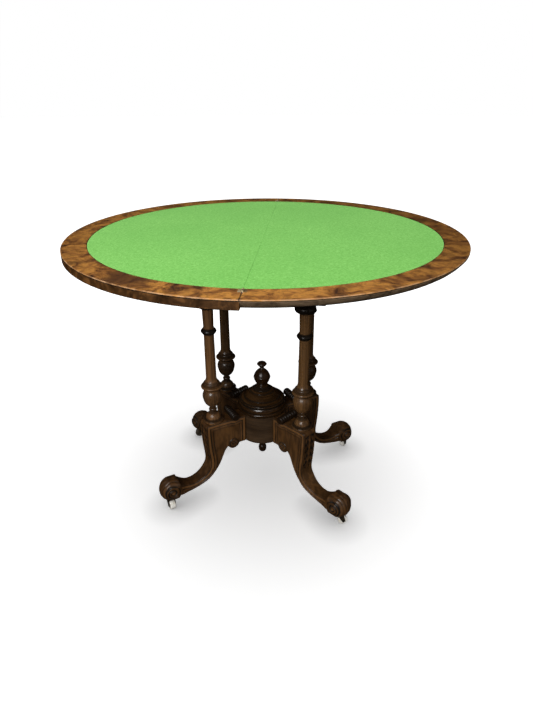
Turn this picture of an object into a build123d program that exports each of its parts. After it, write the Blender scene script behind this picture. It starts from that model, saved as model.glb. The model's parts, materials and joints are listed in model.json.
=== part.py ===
from build123d import *
from math import atan2, cos, degrees, hypot, pi, radians, sin
import os

# Fold-over card table, shown open. Millimetres, +Z up.
# The origin is on the floor under the centre of the open round top.
# +X is the flap's side, -Y is the front, and the seam runs along Y.

# Round top and its two leaves
table_height = 730.0
top_radius = 470.0
leaf_thickness = 19.5
seam_gap = 0.3
banding_width = 56.0
banding_thickness = 2.0
baize_thickness = 1.8
baize_sink = 0.2
baize_edge_gap = 0.4
arris = 0.8
flap_edge_flat = 4.6
flap_moulding_set_back = 15.5
flap_moulding_step = 1.0
flap_moulding_bulge_share = 0.07
leaf_support_gap = 0.3

# Card table hinges, one near each end of the seam
hinge_knuckle_radius = 2.0
hinge_pin_radius = 1.0
hinge_length = 16.0
hinge_plate_reach = 8.5
hinge_plate_thickness = 1.6
hinge_axis_rise = 0.3
hinge_from_rim = 37.5
hinge_knuckle_gap = 0.2
hinge_notch_clearance = 0.4
hinge_screw_radius = 0.8
hinge_screw_length = 8.0
hinge_screw_head_radius = 1.5
hinge_screw_pitch = 5.0

# Place of the base under the top: the top stands a few degrees short of its stop
base_shift_x = -11.4
base_shift_y = 0.0
base_turn = -3.1

# Frieze box with the card well, and what carries it. Its rails stand round the swivel pivot.
pivot_to_left_rail = 32.7
pivot_to_back_rail = 13.4
frieze_height = 96.0
rail_thickness = 20.0
underboard_thickness = 10.0
underboard_overhang = 6.0
underboard_nosing = 4.0
corner_block_height = 50.0
corner_block_inset = 2.0
pivot_board_length = 72.0
pivot_board_depth = 50.0
pivot_board_thickness = 20.0
board_screw_radius = 2.0
board_screw_length = 28.0
board_screw_head_radius = 4.0

# Swivel pivot of the lower leaf
pivot_plate_radius = 32.0
pivot_plate_thickness = 3.0
pivot_bolt_radius = 6.0
pivot_running_clearance = 0.05
pivot_washer_radius = 11.5
pivot_washer_thickness = 2.0
pivot_nut_across_flats = 17.0
pivot_nut_height = 10.0
pivot_bolt_end = 4.0
pivot_screw_radius = 2.0
pivot_screw_length = 12.0
pivot_screw_head_radius = 4.0
pivot_screw_circle = 23.0

# Stop block that meets the left rail when open and the back rail when closed
stop_block_start = 70.0
stop_block_length = 40.0
stop_block_height = 17.0
stop_clearance = 0.3
stop_screw_radius = 2.0
stop_screw_length = 28.0
stop_screw_head_radius = 4.0

# Four turned columns
column_spread_x = 119.9
column_spread_y = 87.5
column_radius = 28.0
column_tenon_radius = 9.0
column_tenon_length = 32.0
joint_clearance = 0.1

# Central drum with its dome, finial and drop
drum_radius = 65.5
drum_bottom = 156.0
drum_top = 239.0
drum_edge_round = 3.0
dome_radius = 70.0
dome_height = 70.0
dome_spigot_radius = 22.0
dome_spigot_length = 14.0
finial_radius = 25.0
finial_height = 71.0
finial_spigot_radius = 6.0
finial_spigot_length = 16.0
drop_radius = 11.6
drop_length = 70.0
drop_spigot_radius = 5.0
drop_spigot_length = 18.0

# Four cabriole legs
leg_azimuth = 36.8
leg_reach = 317.0
leg_top = 238.0
leg_width = 43.0
foot_bottom = 32.0
foot_scroll_radius = 17.5
foot_scroll_width = 58.0
foot_scroll_from_toe = 30.0
foot_scroll_height = 62.0
foot_crown_from_toe = 61.0
foot_crown_radius = 33.0
foot_crown_height = 93.5
foot_keel_radius = 30.0
foot_keel_height = 57.0
foot_bulb_radius = 34.0
end_scroll_radius = 17.5
end_scroll_reach = 101.0
end_scroll_height = 162.0
rosette_radius = 14.5
rosette_thickness = 3.5
leg_dowel_radius = 5.0
leg_dowel_length = 40.0
leg_dowel_low = 182.0
leg_dowel_high = 215.0

# Reeded rolls laid across the legs between drum and columns
roll_reach = 96.0
roll_radius = 11.0
roll_length = 62.0
roll_reeds = 7
roll_reed_depth_share = 0.16
roll_seat = 2.5

# Castors: cup in the foot, horn that swivels, wheel that rolls
wheel_radius = 12.5
wheel_width = 15.0
wheel_edge_round = 2.5
axle_radius = 2.0
axle_running_clearance = 0.05
horn_cheek_thickness = 2.4
horn_cheek_radius = 4.6
horn_side_clearance = 0.4
horn_crown_thickness = 3.2
horn_crown_clearance = 1.2
horn_foot_clearance = 0.4
castor_trail = 9.0
castor_from_toe = 27.0
stem_radius = 4.0
stem_length = 15.0
cup_radius = 6.5
cup_flange_radius = 12.5
cup_flange_thickness = 2.0
castor_screw_radius = 1.0
castor_screw_length = 9.0
castor_screw_head_radius = 1.9
castor_screw_circle = 9.6
castor_screw_count = 3
castor_azimuths = {
    "front_left": -52.0,
    "front_right": 20.0,
    "back_left": 185.0,
    "back_right": 60.0,
}

# One overrun serves every cut
overrun = 5.0

# Turned profiles from bottom to top: radius share, height share, bulge of the stretch up to the point
column_profile_shares = (
    (0.857, 0.000, 0.00),
    (0.857, 0.010, 0.00),
    (0.940, 0.013, 0.00),
    (0.940, 0.022, 0.40),
    (0.730, 0.026, 0.00),
    (0.255, 0.080, 0.15),
    (0.255, 0.085, 0.00),
    (0.255, 0.112, 0.38),
    (0.270, 0.124, 0.00),
    (0.850, 0.192, 0.12),
    (0.550, 0.268, 0.17),
    (0.550, 0.273, 0.00),
    (0.946, 0.284, 0.00),
    (0.946, 0.300, 0.30),
    (0.750, 0.306, 0.00),
    (0.750, 0.323, 0.15),
    (0.640, 0.331, 0.00),
    (0.490, 0.375, -0.09),
    (0.465, 0.694, 0.00),
    (0.530, 0.699, 0.00),
    (0.530, 0.703, 0.00),
    (0.680, 0.716, 0.10),
    (0.680, 0.726, 0.25),
    (0.530, 0.739, 0.10),
    (0.530, 0.743, 0.00),
    (0.465, 0.748, 0.00),
    (0.505, 0.880, 0.00),
    (0.670, 0.888, 0.00),
    (0.770, 0.893, 0.00),
    (0.770, 0.940, 0.28),
    (0.640, 0.944, 0.00),
    (0.640, 0.958, 0.00),
    (0.900, 0.978, -0.10),
    (0.900, 1.000, 0.00),
)
dome_profile_shares = (
    (0.930, 0.000, 0.00),
    (0.945, 0.020, 0.00),
    (0.968, 0.050, 0.00),
    (0.968, 0.165, 0.30),
    (0.935, 0.180, 0.00),
    (0.890, 0.340, 0.10),
    (0.872, 0.355, 0.00),
    (0.872, 0.400, 0.00),
    (0.890, 0.420, 0.00),
    (0.890, 0.462, 0.30),
    (0.863, 0.472, 0.00),
    (0.735, 0.558, 0.00),
    (0.735, 0.576, 0.00),
    (0.718, 0.584, 0.25),
    (0.480, 0.770, 0.00),
    (0.480, 0.788, 0.00),
    (0.463, 0.796, 0.25),
    (0.372, 0.858, 0.00),
    (0.372, 0.876, 0.00),
    (0.355, 0.884, 0.25),
    (0.250, 0.955, 0.00),
    (0.243, 0.975, 0.00),
    (0.243, 1.000, 0.30),
)
finial_profile_shares = (
    (0.560, 0.000, 0.00),
    (0.560, 0.020, 0.00),
    (0.470, 0.050, 0.00),
    (0.885, 0.320, 0.09),
    (0.885, 0.410, 0.15),
    (0.330, 0.690, 0.09),
    (0.215, 0.740, -0.05),
    (0.240, 0.790, 0.00),
    (0.510, 0.888, 0.05),
    (0.510, 0.925, 0.30),
    (0.200, 1.000, 0.12),
)
drop_profile_shares = (
    (0.300, 0.000, 0.00),
    (0.940, 0.170, 0.20),
    (0.480, 0.370, 0.17),
    (0.480, 0.430, 0.00),
    (1.000, 0.520, -0.10),
    (1.000, 1.000, 0.00),
)

# Side view of a leg, as shares of its reach and of its top's height
leg_knee_shares = ((0.562, 0.985), (0.562, 0.790), (0.552, 0.630), (0.543, 0.517))
leg_ankle_top_shares = (
    (0.548, 0.433), (0.577, 0.370), (0.618, 0.319), (0.672, 0.286),
    (0.732, 0.275), (0.776, 0.290), (0.826, 0.323))
leg_leaf_tip_shares = (0.845, 0.382)
leg_toe_top_shares = (0.955, 0.400)
leg_toe_front_shares = (1.014, 0.277)
leg_toe_under_shares = (1.006, 0.180)
leg_heel_back_shares = (0.853, 0.162)
leg_heel_shares = (
    (0.842, 0.200), (0.808, 0.184), (0.745, 0.182), (0.672, 0.206), (0.602, 0.249),
    (0.540, 0.309), (0.489, 0.384), (0.448, 0.471), (0.423, 0.546), (0.400, 0.613))
leg_arch_shares = (0.376, 0.651)
leg_inner_shares = (0.157, 0.672)
# Half width of a leg, seen from above, as shares of its reach and of its width
leg_plan_shares = (
    (0.562, 0.500), (0.628, 0.440), (0.706, 0.400), (0.775, 0.430),
    (0.835, 0.600), (0.885, 0.680), (0.940, 0.628))
leg_plan_toe_share = 1.020

leaf_bottom = table_height - leaf_thickness
leaf_bed = table_height - banding_thickness
frieze_top = leaf_bottom - leaf_support_gap
frieze_bottom = frieze_top - frieze_height
underboard_bottom = frieze_bottom - underboard_thickness
column_height = underboard_bottom - leg_top
baize_radius = top_radius - banding_width
foot_scroll_reach = leg_reach - foot_scroll_from_toe
foot_crown_start = leg_reach - foot_crown_from_toe
castor_reach = leg_reach - castor_from_toe
pivot_x = -top_radius / 4
pivot_y = top_radius / 4
base_place = Pos(base_shift_x, base_shift_y, 0) * Rot(0, 0, base_turn)
corners = {
    "front_left": (-1, -1),
    "front_right": (1, -1),
    "back_left": (-1, 1),
    "back_right": (1, 1),
}

parts = {}


def at(x, y, z):
    return Pos(x, y, z)


def block(low, high):
    """A plain board between two opposite corners."""
    size = [abs(b - a) for a, b in zip(low, high)]
    centre = [(a + b) / 2 for a, b in zip(low, high)]
    return at(*centre) * Box(*size)


def rod(radius, length):
    """A round bar standing on its own origin."""
    return Cylinder(radius, length, align=(Align.CENTER, Align.CENTER, Align.MIN))


def bulged(start, end, bulge):
    """A line, or an arc whose rise is a share of its chord, outward where positive."""
    if bulge == 0:
        return Line(start, end)
    dx = end[0] - start[0]
    dz = end[1] - start[1]
    middle = ((start[0] + end[0]) / 2 + bulge * dz, (start[1] + end[1]) / 2 - bulge * dx)
    return ThreePointArc(start, middle, end)


def turned(radius, height, shares):
    """A lathe-turned solid standing on its own origin."""
    points = [(radius * r, height * z) for r, z, bulge in shares]
    edges = [Line((0, 0), points[0])]
    for i in range(1, len(points)):
        edges.append(bulged(points[i - 1], points[i], shares[i][2]))
    edges.append(Line(points[-1], (0, height)))
    edges.append(Line((0, height), (0, 0)))
    face = make_face(edges)
    return revolve(Plane.XZ * face, Axis.Z)


def screw(radius, length, head_radius, clearance=0):
    """A countersunk wood screw, head up at its own origin and point down."""
    head = Cone(radius + clearance, head_radius + clearance, head_radius - radius,
                align=(Align.CENTER, Align.CENTER, Align.MAX))
    tip = Cone(radius / 2, radius + clearance, radius, align=(Align.CENTER, Align.CENTER, Align.MAX))
    shank_length = length - radius
    shank = at(0, 0, -shank_length) * rod(radius + clearance, shank_length - (head_radius - radius) / 2)
    return head + shank + at(0, 0, -shank_length) * tip


def half(solid, side):
    """The part of a round piece on one side of the seam: -1 left, 1 right."""
    plane = Plane.YZ.offset(side * seam_gap / 2)
    return split(solid, bisect_by=plane, keep=Keep.TOP if side > 0 else Keep.BOTTOM)


def lower_leaf_disc():
    """Plain square-edged disc under the banding and the baize."""
    disc = at(0, 0, leaf_bottom) * rod(top_radius, leaf_bed - leaf_bottom)
    return chamfer(disc.edges().sort_by(Axis.Z)[:1], arris)


def flap_leaf_disc():
    """Disc whose lower edge is moulded: a small step and a wide thumb moulding."""
    flat_bottom = table_height - flap_edge_flat
    step_radius = top_radius - flap_moulding_step
    foot_radius = top_radius - flap_moulding_set_back
    outline = [
        Line((0, leaf_bottom), (foot_radius, leaf_bottom)),
        bulged((foot_radius, leaf_bottom), (step_radius, flat_bottom), flap_moulding_bulge_share),
        Line((step_radius, flat_bottom), (top_radius, flat_bottom)),
        Line((top_radius, flat_bottom), (top_radius, leaf_bed)),
        Line((top_radius, leaf_bed), (0, leaf_bed)),
        Line((0, leaf_bed), (0, leaf_bottom)),
    ]
    return revolve(Plane.XZ * make_face(outline), Axis.Z)


def banding_ring():
    ring = at(0, 0, leaf_bed) * rod(top_radius, banding_thickness)
    ring = chamfer(ring.edges().sort_by(Axis.Z)[-1:], arris)
    return ring - at(0, 0, leaf_bottom) * rod(baize_radius, leaf_thickness + overrun)


def baize_disc():
    return at(0, 0, leaf_bed) * rod(baize_radius - baize_edge_gap, baize_thickness)


# Hinges
hinge_z = table_height + hinge_axis_rise
hinge_reach = top_radius - hinge_from_rim - hinge_length / 2
hinge_centres = (-hinge_reach, hinge_reach)
knuckle_length = (hinge_length - 2 * hinge_knuckle_gap) / 3


def along_y(radius, length, y, z=hinge_z):
    """A round bar along the seam, centred at y."""
    return at(0, y, z) * Rot(90, 0, 0) * Cylinder(radius, length)


def hinge_half(side, y):
    """One plate of a hinge with its share of the knuckles."""
    inner = hinge_knuckle_radius + hinge_notch_clearance
    top = table_height
    low = table_height - hinge_plate_thickness
    plate = block((inner, y - hinge_length / 2, low), (hinge_plate_reach, y + hinge_length / 2, top))
    pitch = knuckle_length + hinge_knuckle_gap
    places = (y,) if side > 0 else (y - pitch, y + pitch)
    for place in places:
        plate += along_y(hinge_knuckle_radius, knuckle_length, place)
        plate += block((0, place - knuckle_length / 2, low), (inner, place + knuckle_length / 2, top))
    plate -= along_y(hinge_pin_radius + axle_running_clearance, hinge_length + overrun, y)
    if side < 0:
        plate = mirror(plate, Plane.YZ)
    return plate


def hinge_screws(side, clearance=0):
    """Three screws through each plate of one leaf."""
    reach = side * (hinge_knuckle_radius + hinge_notch_clearance + hinge_plate_reach) / 2
    found = []
    for y in hinge_centres:
        for step in (-1, 0, 1):
            place = at(reach, y + step * hinge_screw_pitch, table_height)
            found.append(place * screw(
                hinge_screw_radius, hinge_screw_length, hinge_screw_head_radius, clearance))
    return found


def hinge_recess(side):
    """What the leaf and banding lose so that plate and knuckles lie in them."""
    cut = None
    for y in hinge_centres:
        bed = block((0, y - hinge_length / 2, table_height - hinge_plate_thickness),
                    (side * hinge_plate_reach, y + hinge_length / 2, table_height + overrun))
        notch = along_y(
            hinge_knuckle_radius + hinge_notch_clearance, hinge_length + 2 * hinge_notch_clearance, y)
        piece = bed + notch
        cut = piece if cut is None else cut + piece
    for hole in hinge_screws(side, joint_clearance):
        cut += hole
    return cut


def make_top():
    lower = half(lower_leaf_disc(), -1)
    flap = half(flap_leaf_disc(), 1)
    recess = {-1: hinge_recess(-1), 1: hinge_recess(1)}
    plate_pocket = at(pivot_x, pivot_y, leaf_bottom - overrun) * rod(
        pivot_plate_radius + joint_clearance, pivot_plate_thickness + overrun)
    lower -= plate_pocket
    for hole in pivot_screws(joint_clearance) + stop_screws(joint_clearance):
        lower -= hole
    parts["lower_leaf"] = lower - recess[-1]
    parts["flap_leaf"] = flap - recess[1]
    ring = banding_ring()
    parts["lower_leaf_banding"] = half(ring, -1) - recess[-1]
    parts["flap_banding"] = half(ring, 1) - recess[1]
    parts["lower_leaf_baize"] = half(baize_disc(), -1)
    parts["flap_baize"] = half(baize_disc(), 1)
    for name, side in (("hinge_plates_lower_leaf", -1), ("hinge_plates_flap", 1)):
        plates = [hinge_half(side, y) for y in hinge_centres]
        for hole in hinge_screws(side, joint_clearance):
            plates = [plate - hole for plate in plates]
        parts[name] = plates
    parts["hinge_screws_lower_leaf"] = hinge_screws(-1)
    parts["hinge_screws_flap"] = hinge_screws(1)
    parts["hinge_pins"] = [along_y(hinge_pin_radius, hinge_length, y) for y in hinge_centres]


# Swivel pivot and stop. The pivot is also found in the base's own frame.
turn_back = radians(-base_turn)
pivot_from_base = (pivot_x - base_shift_x, pivot_y - base_shift_y)
pivot_u = pivot_from_base[0] * cos(turn_back) - pivot_from_base[1] * sin(turn_back)
pivot_v = pivot_from_base[0] * sin(turn_back) + pivot_from_base[1] * cos(turn_back)
pivot_board_top = frieze_top
pivot_board_bottom = frieze_top - pivot_board_thickness
rail_inner_u = pivot_to_left_rail - pivot_u
rail_inner_v = pivot_to_back_rail + pivot_v
stop_left = -rail_inner_u + stop_clearance - pivot_u
stop_right = rail_inner_v - stop_clearance - pivot_v


def pivot_screws(clearance=0):
    found = []
    for quarter in range(4):
        angle = radians(45 + 90 * quarter)
        place = at(
            pivot_x + pivot_screw_circle * cos(angle), pivot_y + pivot_screw_circle * sin(angle), leaf_bottom)
        turn = place * Rot(180, 0, 0)
        found.append(turn * screw(pivot_screw_radius, pivot_screw_length, pivot_screw_head_radius, clearance))
    return found


def stop_screws(clearance=0):
    middle = pivot_x + (stop_left + stop_right) / 2
    found = []
    for step in (1, 3):
        y = pivot_y - stop_block_start - stop_block_length * step / 4
        turn = at(middle, y, leaf_bottom - stop_block_height) * Rot(180, 0, 0)
        found.append(turn * screw(stop_screw_radius, stop_screw_length, stop_screw_head_radius, clearance))
    return found


def make_pivot():
    plate = at(pivot_x, pivot_y, leaf_bottom) * rod(pivot_plate_radius, pivot_plate_thickness)
    bolt_length = pivot_plate_thickness + leaf_support_gap + pivot_board_thickness + pivot_washer_thickness
    bolt_length += pivot_nut_height + pivot_bolt_end
    bolt_low = leaf_bottom + pivot_plate_thickness - bolt_length
    bolt = at(pivot_x, pivot_y, bolt_low) * rod(pivot_bolt_radius, bolt_length)
    plate -= at(pivot_x, pivot_y, leaf_bottom - overrun) * rod(
        pivot_bolt_radius, pivot_plate_thickness + 2 * overrun)
    for hole in pivot_screws(joint_clearance):
        plate -= hole
    bore = pivot_bolt_radius + pivot_running_clearance
    washer_low = pivot_board_bottom - pivot_washer_thickness
    washer = at(pivot_x, pivot_y, washer_low) * (
        rod(pivot_washer_radius, pivot_washer_thickness) - rod(bore, pivot_washer_thickness))
    nut = extrude(RegularPolygon(pivot_nut_across_flats / 2, 6, major_radius=False), pivot_nut_height)
    nut = at(pivot_x, pivot_y, washer_low - pivot_nut_height) * (
        nut - rod(pivot_bolt_radius, pivot_nut_height))
    parts["pivot_plate"] = plate
    parts["pivot_bolt"] = bolt
    parts["pivot_washer"] = washer
    parts["pivot_nut"] = nut
    parts["pivot_plate_screws"] = pivot_screws()
    stop = block(
        (pivot_x + stop_left,
         pivot_y - stop_block_start - stop_block_length,
         leaf_bottom - stop_block_height),
        (pivot_x + stop_right, pivot_y - stop_block_start, leaf_bottom))
    for hole in stop_screws(joint_clearance):
        stop -= hole
    parts["stop_block"] = stop
    parts["stop_block_screws"] = stop_screws()


# Frieze box, in the base's own frame
half_length = rail_inner_u + rail_thickness
half_depth = rail_inner_v + rail_thickness


def corner_block_box(name):
    """Opposite corners of the glue block in one corner of the well."""
    sx, sy = corners[name]
    inset = column_tenon_radius + corner_block_inset + rail_thickness / 2
    x_in = sx * (column_spread_x - inset)
    y_in = sy * (column_spread_y - inset)
    return (x_in, y_in, frieze_bottom), (
        sx * rail_inner_u, sy * rail_inner_v, frieze_bottom + corner_block_height)


def board_screws(clearance=0):
    """Screws up through the underboard into the rails."""
    spots = []
    for sx in (-1, 1):
        spots.append((sx * (half_length - rail_thickness / 2), 0))
        for sy in (-1, 1):
            spots.append((sx * half_length / 2, sy * (half_depth - rail_thickness / 2)))
    shape = Rot(180, 0, 0) * screw(board_screw_radius, board_screw_length, board_screw_head_radius, clearance)
    return [at(x, y, underboard_bottom) * shape for x, y in spots]


def make_frieze():
    low = frieze_bottom
    high = frieze_top
    rails = {}
    for name, sy in (("frieze_front_rail", -1), ("frieze_back_rail", 1)):
        rails[name] = block((-half_length, sy * half_depth, low), (half_length, sy * rail_inner_v, high))
    for name, sx in (("frieze_left_rail", -1), ("frieze_right_rail", 1)):
        rails[name] = block((sx * half_length, -rail_inner_v, low), (sx * rail_inner_u, rail_inner_v, high))
    over = underboard_overhang
    board = block((-half_length - over, -half_depth - over, underboard_bottom),
                  (half_length + over, half_depth + over, frieze_bottom))
    board = fillet(board.edges().filter_by(Axis.Z), over)
    board = fillet(board.faces().sort_by(Axis.Z)[0].edges(), underboard_nosing)
    glue_blocks = []
    for name, (sx, sy) in corners.items():
        hole = at(sx * column_spread_x, sy * column_spread_y, underboard_bottom - overrun) * rod(
            column_tenon_radius + joint_clearance, column_tenon_length + joint_clearance + overrun)
        board -= hole
        glue_blocks.append(block(*corner_block_box(name)) - hole)
    for hole in board_screws(joint_clearance):
        board -= hole
        rails = {name: rail - hole for name, rail in rails.items()}
    pivot_board = block((-rail_inner_u, rail_inner_v - pivot_board_depth, pivot_board_bottom),
                        (pivot_board_length - rail_inner_u, rail_inner_v, pivot_board_top))
    pivot_board -= at(pivot_u, pivot_v, pivot_board_bottom - overrun) * rod(
        pivot_bolt_radius + pivot_running_clearance, pivot_board_thickness + 2 * overrun)
    for name, rail in rails.items():
        parts[name] = base_place * rail
    parts["underboard"] = base_place * board
    parts["underboard_screws"] = [base_place * piece for piece in board_screws()]
    parts["corner_blocks"] = [base_place * piece for piece in glue_blocks]
    parts["pivot_board"] = base_place * pivot_board


def make_columns():
    body = turned(column_radius, column_height, column_profile_shares)
    body += at(0, 0, -column_tenon_length) * rod(column_tenon_radius, column_tenon_length)
    body += at(0, 0, column_height) * rod(column_tenon_radius, column_tenon_length)
    for name, (sx, sy) in corners.items():
        parts["column_" + name] = base_place * at(sx * column_spread_x, sy * column_spread_y, leg_top) * body


# Drum, dome, finial and drop
def leg_place(name):
    """Place of a leg: local X points outward along the leg, local Z is up."""
    sx, sy = corners[name]
    azimuth = degrees(atan2(sy * sin(radians(leg_azimuth)), sx * cos(radians(leg_azimuth))))
    return base_place * Rot(0, 0, azimuth)


def leg_dowels(clearance=0):
    """Two dowels from each leg into the drum, in the leg's own frame."""
    found = []
    for z in (leg_dowel_low, leg_dowel_high):
        bar = Rot(0, 90, 0) * Cylinder(leg_dowel_radius + clearance, leg_dowel_length + 2 * clearance)
        found.append(at(drum_radius, 0, z) * bar)
    return found


def make_drum():
    drum = base_place * at(0, 0, drum_bottom) * rod(drum_radius, drum_top - drum_bottom)
    drum = fillet(drum.edges().sort_by(Axis.Z)[:1], drum_edge_round)
    drum -= base_place * at(0, 0, drum_top - dome_spigot_length - joint_clearance) * rod(
        dome_spigot_radius + joint_clearance, dome_spigot_length + overrun)
    drum -= base_place * at(0, 0, drum_bottom - overrun) * rod(
        drop_spigot_radius + joint_clearance, drop_spigot_length + joint_clearance + overrun)
    for name in corners:
        for bar in leg_dowels(joint_clearance):
            drum -= leg_place(name) * bar
    parts["centre_drum"] = drum
    dome = turned(dome_radius, dome_height, dome_profile_shares)
    dome += at(0, 0, -dome_spigot_length) * rod(dome_spigot_radius, dome_spigot_length)
    dome -= at(0, 0, dome_height - finial_spigot_length - joint_clearance) * rod(
        finial_spigot_radius + joint_clearance, finial_spigot_length + overrun)
    parts["drum_dome"] = base_place * at(0, 0, drum_top) * dome
    finial = turned(finial_radius, finial_height, finial_profile_shares)
    finial += at(0, 0, -finial_spigot_length) * rod(finial_spigot_radius, finial_spigot_length)
    parts["dome_finial"] = base_place * at(0, 0, drum_top + dome_height) * finial
    drop = turned(drop_radius, drop_length, drop_profile_shares)
    drop += at(0, 0, drop_length) * rod(drop_spigot_radius, drop_spigot_length)
    parts["drum_drop"] = base_place * at(0, 0, drum_bottom - drop_length) * drop


# Legs
def leg_point(shares):
    return leg_reach * shares[0], leg_top * shares[1]


def leg_points(table):
    return [leg_point(shares) for shares in table]


def leg_solid():
    """One cabriole leg in its own frame, before it is bored."""
    knee = leg_points(leg_knee_shares)
    ankle = leg_points(leg_ankle_top_shares)
    tip = leg_point(leg_leaf_tip_shares)
    toe_top = leg_point(leg_toe_top_shares)
    toe = leg_point(leg_toe_front_shares)
    toe_low = leg_point(leg_toe_under_shares)
    heel = leg_points(leg_heel_shares)
    toe_flat = (castor_reach + cup_flange_radius + arris, foot_bottom)
    heel_flat = (castor_reach - cup_flange_radius - arris, foot_bottom)
    arch = leg_point(leg_arch_shares)
    inner = leg_point(leg_inner_shares)
    top_inner = (inner[0], leg_top)
    top_outer = (knee[0][0] - leg_top + knee[0][1], leg_top)
    outline = [
        Line(top_inner, top_outer),
        Line(top_outer, knee[0]),
        Spline(*knee, *ankle),
        Line(ankle[-1], tip),
        ThreePointArc(tip, toe_top, toe),
        ThreePointArc(toe, toe_low, toe_flat),
        Line(toe_flat, heel_flat),
        ThreePointArc(heel_flat, leg_point(leg_heel_back_shares), heel[0]),
        Spline(*heel),
        Line(heel[-1], arch),
        Line(arch, inner),
        Line(inner, top_inner),
    ]
    side_view = extrude(Plane.XZ * make_face(outline), foot_scroll_width, both=True)
    plan = [(leg_reach * r, leg_width * w) for r, w in leg_plan_shares]
    toe_point = (leg_reach * leg_plan_toe_share, 0)
    far = [(x, -y) for x, y in plan]
    plan_outline = [
        Line((0, plan[0][1]), plan[0]),
        Spline(*plan),
        ThreePointArc(plan[-1], toe_point, far[-1]),
        Spline(*reversed(far)),
        Line(far[0], (0, far[0][1])),
        Line((0, far[0][1]), (0, plan[0][1])),
    ]
    body = side_view & extrude(make_face(plan_outline), leg_top)
    crown_axis_height = foot_crown_height - foot_crown_radius
    crown = at(0, 0, crown_axis_height) * Rot(0, 90, 0) * rod(foot_crown_radius, 2 * leg_reach)
    keel = at(0, 0, foot_keel_height) * Rot(0, 90, 0) * rod(foot_keel_radius, 2 * leg_reach)
    body -= block((foot_crown_start, -foot_scroll_width, crown_axis_height),
                  (leg_reach + overrun, foot_scroll_width, leg_top)) - crown
    body -= block((foot_crown_start, -foot_scroll_width, 0),
                  (leg_reach + overrun, foot_scroll_width, foot_keel_height)) - keel
    bulb_reach = leg_reach - foot_bulb_radius
    body -= block((bulb_reach, -foot_scroll_width, 0),
                  (leg_reach + foot_bulb_radius, foot_scroll_width, leg_top)) - at(
                      bulb_reach, 0, crown_axis_height) * Sphere(foot_bulb_radius)
    body += at(foot_scroll_reach, 0, foot_scroll_height) * Rot(90, 0, 0) * Cylinder(
        foot_scroll_radius, foot_scroll_width)
    body += at(end_scroll_reach, 0, end_scroll_height) * Rot(90, 0, 0) * Cylinder(
        end_scroll_radius, leg_width)
    return body - rod(drum_radius + joint_clearance, leg_top + overrun)


def rosettes():
    """A turned patera on each face of the scroll at a leg's inner end."""
    found = []
    for side in (-1, 1):
        disc = Cylinder(rosette_radius, rosette_thickness, align=(Align.CENTER, Align.CENTER, Align.MIN))
        disc = fillet(disc.edges().sort_by(Axis.Z)[-1:], rosette_thickness / 2)
        place = at(end_scroll_reach, side * leg_width / 2, end_scroll_height)
        found.append(place * Rot(-90 * side, 0, 0) * disc)
    return found


def reeded_roll():
    """A roll along its own X axis, with reeds round it."""
    pitch = roll_length / roll_reeds
    hollow = roll_radius * (1 - roll_reed_depth_share)
    edges = [Line((0, 0), (0, hollow))]
    for i in range(roll_reeds):
        start = (i * pitch, hollow)
        end = ((i + 1) * pitch, hollow)
        edges.append(ThreePointArc(start, ((i + 1 / 2) * pitch, roll_radius), end))
    edges.append(Line((roll_length, hollow), (roll_length, 0)))
    edges.append(Line((roll_length, 0), (0, 0)))
    roll = revolve(make_face(edges), Axis.X)
    return at(-roll_length / 2, 0, 0) * roll


def castor_hole():
    """What the foot loses for the castor's cup."""
    return at(castor_reach, 0, foot_bottom - overrun) * rod(
        cup_radius + joint_clearance, stem_length + cup_flange_thickness + overrun)


def castor_screws(clearance=0):
    found = []
    for i in range(castor_screw_count):
        angle = 2 * pi * i / castor_screw_count
        place = at(castor_reach + castor_screw_circle * cos(angle), castor_screw_circle * sin(angle),
                   foot_bottom - cup_flange_thickness)
        turn = place * Rot(180, 0, 0)
        found.append(turn * screw(
            castor_screw_radius, castor_screw_length, castor_screw_head_radius, clearance))
    return found


def make_legs():
    column_radial = hypot(column_spread_x, column_spread_y)
    column_turn = degrees(atan2(column_spread_y, column_spread_x)) - leg_azimuth
    body = leg_solid() - castor_hole()
    for bar in leg_dowels(joint_clearance):
        body -= bar
    for hole in castor_screws(joint_clearance):
        body -= hole
    roll_z = leg_top + roll_radius - roll_seat
    roll = at(roll_reach, 0, roll_z) * Rot(0, 0, 90) * reeded_roll()
    body -= at(roll_reach, 0, roll_z) * Rot(90, 0, 0) * Cylinder(roll_radius, leg_width + overrun)
    dowels = []
    pateras = []
    sockets = []
    fixings = []
    cup = rod(cup_flange_radius, cup_flange_thickness)
    cup += rod(cup_radius, cup_flange_thickness + stem_length)
    cup -= rod(stem_radius + axle_running_clearance, stem_length)
    cup = at(castor_reach, 0, foot_bottom - cup_flange_thickness) * cup
    for hole in castor_screws(joint_clearance):
        cup -= hole
    for name, (sx, sy) in corners.items():
        place = leg_place(name)
        turn = sx * sy * column_turn
        tenon = Rot(0, 0, turn) * at(column_radial, 0, leg_top - column_tenon_length - joint_clearance) * rod(
            column_tenon_radius + joint_clearance, column_tenon_length + overrun)
        parts["leg_" + name] = place * (body - tenon)
        parts["reeded_roll_" + name] = place * roll
        dowels += [place * bar for bar in leg_dowels()]
        pateras += [place * disc for disc in rosettes()]
        sockets.append(place * cup)
        fixings += [place * piece for piece in castor_screws()]
    parts["leg_dowels"] = dowels
    parts["leg_rosettes"] = pateras
    parts["castor_cups"] = sockets
    parts["castor_cup_screws"] = fixings


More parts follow.
